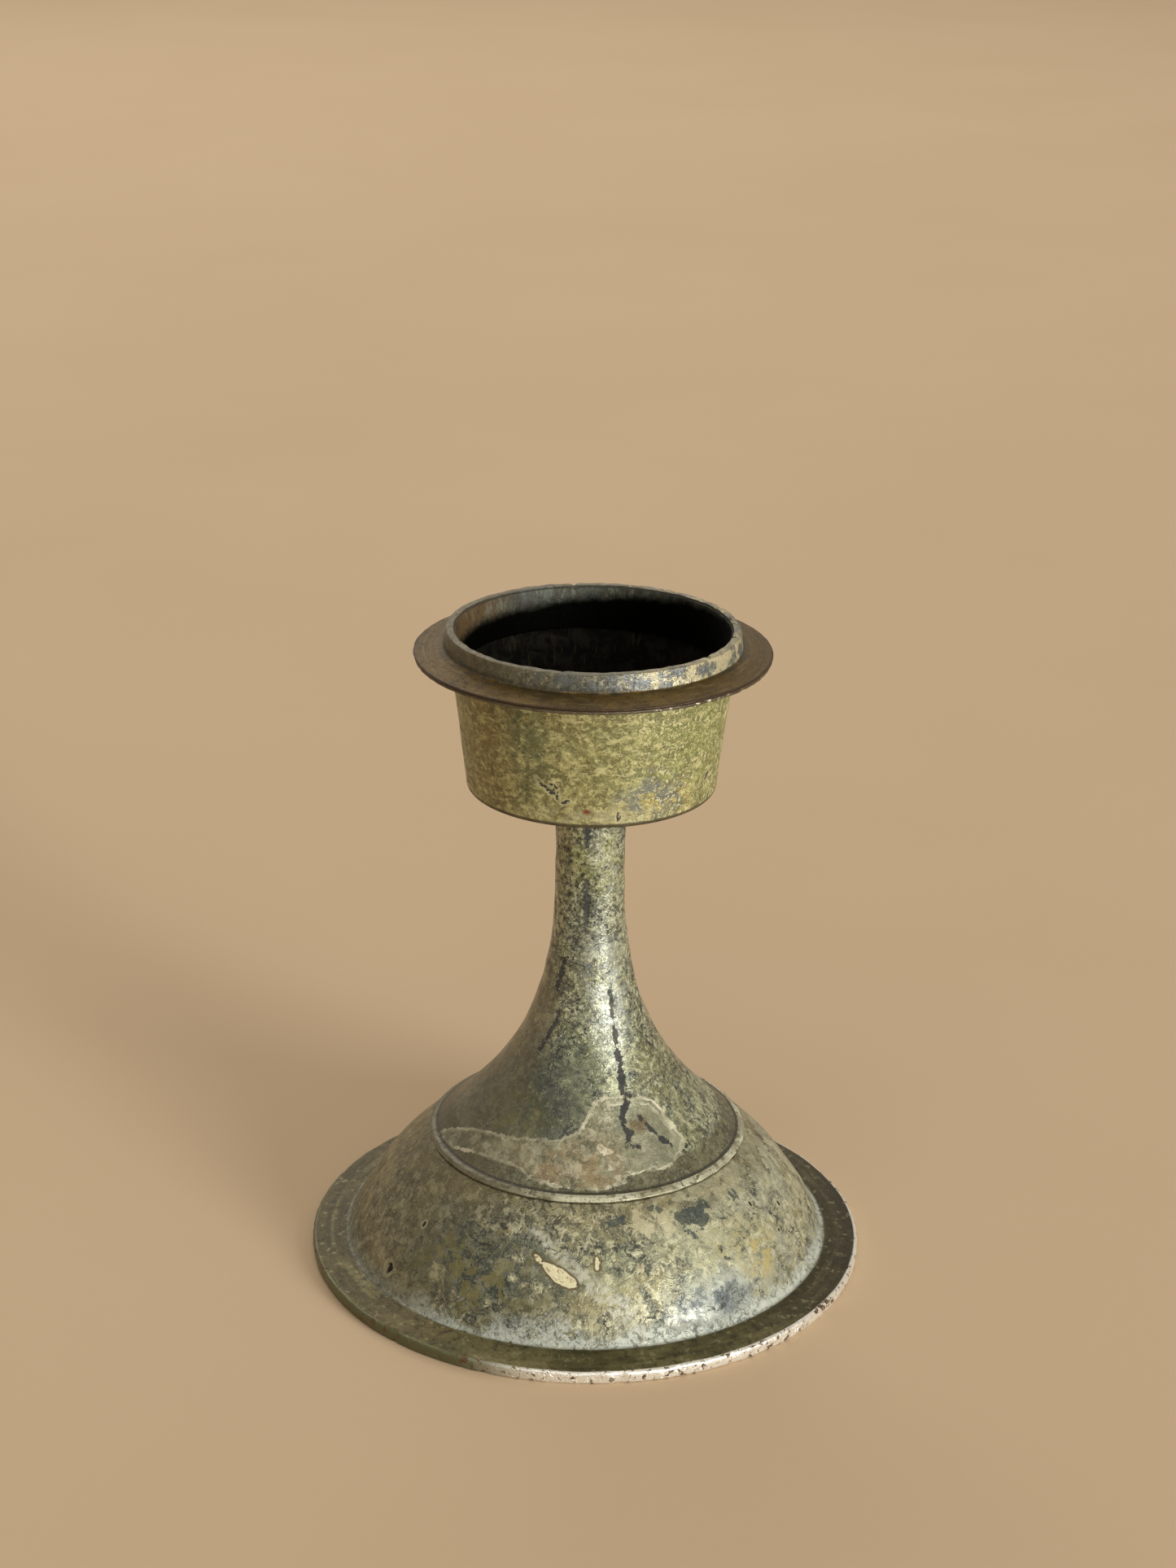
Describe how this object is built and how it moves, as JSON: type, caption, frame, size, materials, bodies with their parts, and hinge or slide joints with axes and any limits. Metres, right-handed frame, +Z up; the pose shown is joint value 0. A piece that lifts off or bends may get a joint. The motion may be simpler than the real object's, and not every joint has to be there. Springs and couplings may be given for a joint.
{
  "type": "candlestick",
  "caption": "Round brass candlestick: a domed foot with a flat brim, a trumpet-shaped stem and a tapered cup, with a loose brimmed candle ring that lifts out of the cup's mouth.",
  "frame": {"origin": "centre of the foot's underside, on the turning axis, at the level of the surface it stands on", "axes": "+Z up along the turning axis; the clamp bar under the foot lies along X"},
  "size_m": [0.106, 0.106, 0.1252],
  "materials": {
    "foot_patina": "aged, mottled olive and blue-grey patina",
    "stem_patina": "aged, mottled grey-green patina",
    "cup_patina": "aged, pale yellow-olive patina",
    "ring_patina": "aged, matte brown-olive brim and grey collar",
    "boss_brass": "dull turned brass",
    "rusty_steel": "dull, spotted with rust"
  },
  "bodies": {
    "stand": {"foot": "foot_patina", "stem": "stem_patina", "cup": "cup_patina", "cup_boss": "boss_brass", "tie_rod": "rusty_steel", "clamp_bar": "rusty_steel", "foot_washer": "rusty_steel", "foot_nut": "rusty_steel"},
    "ring": {"candle_ring": "ring_patina"}
  },
  "joints": [
    {"name": "ring_lift", "type": "slide", "parent": "stand", "child": "ring", "axis": [0, 0, 1], "range_m": [0, 0.02]}
  ]
}
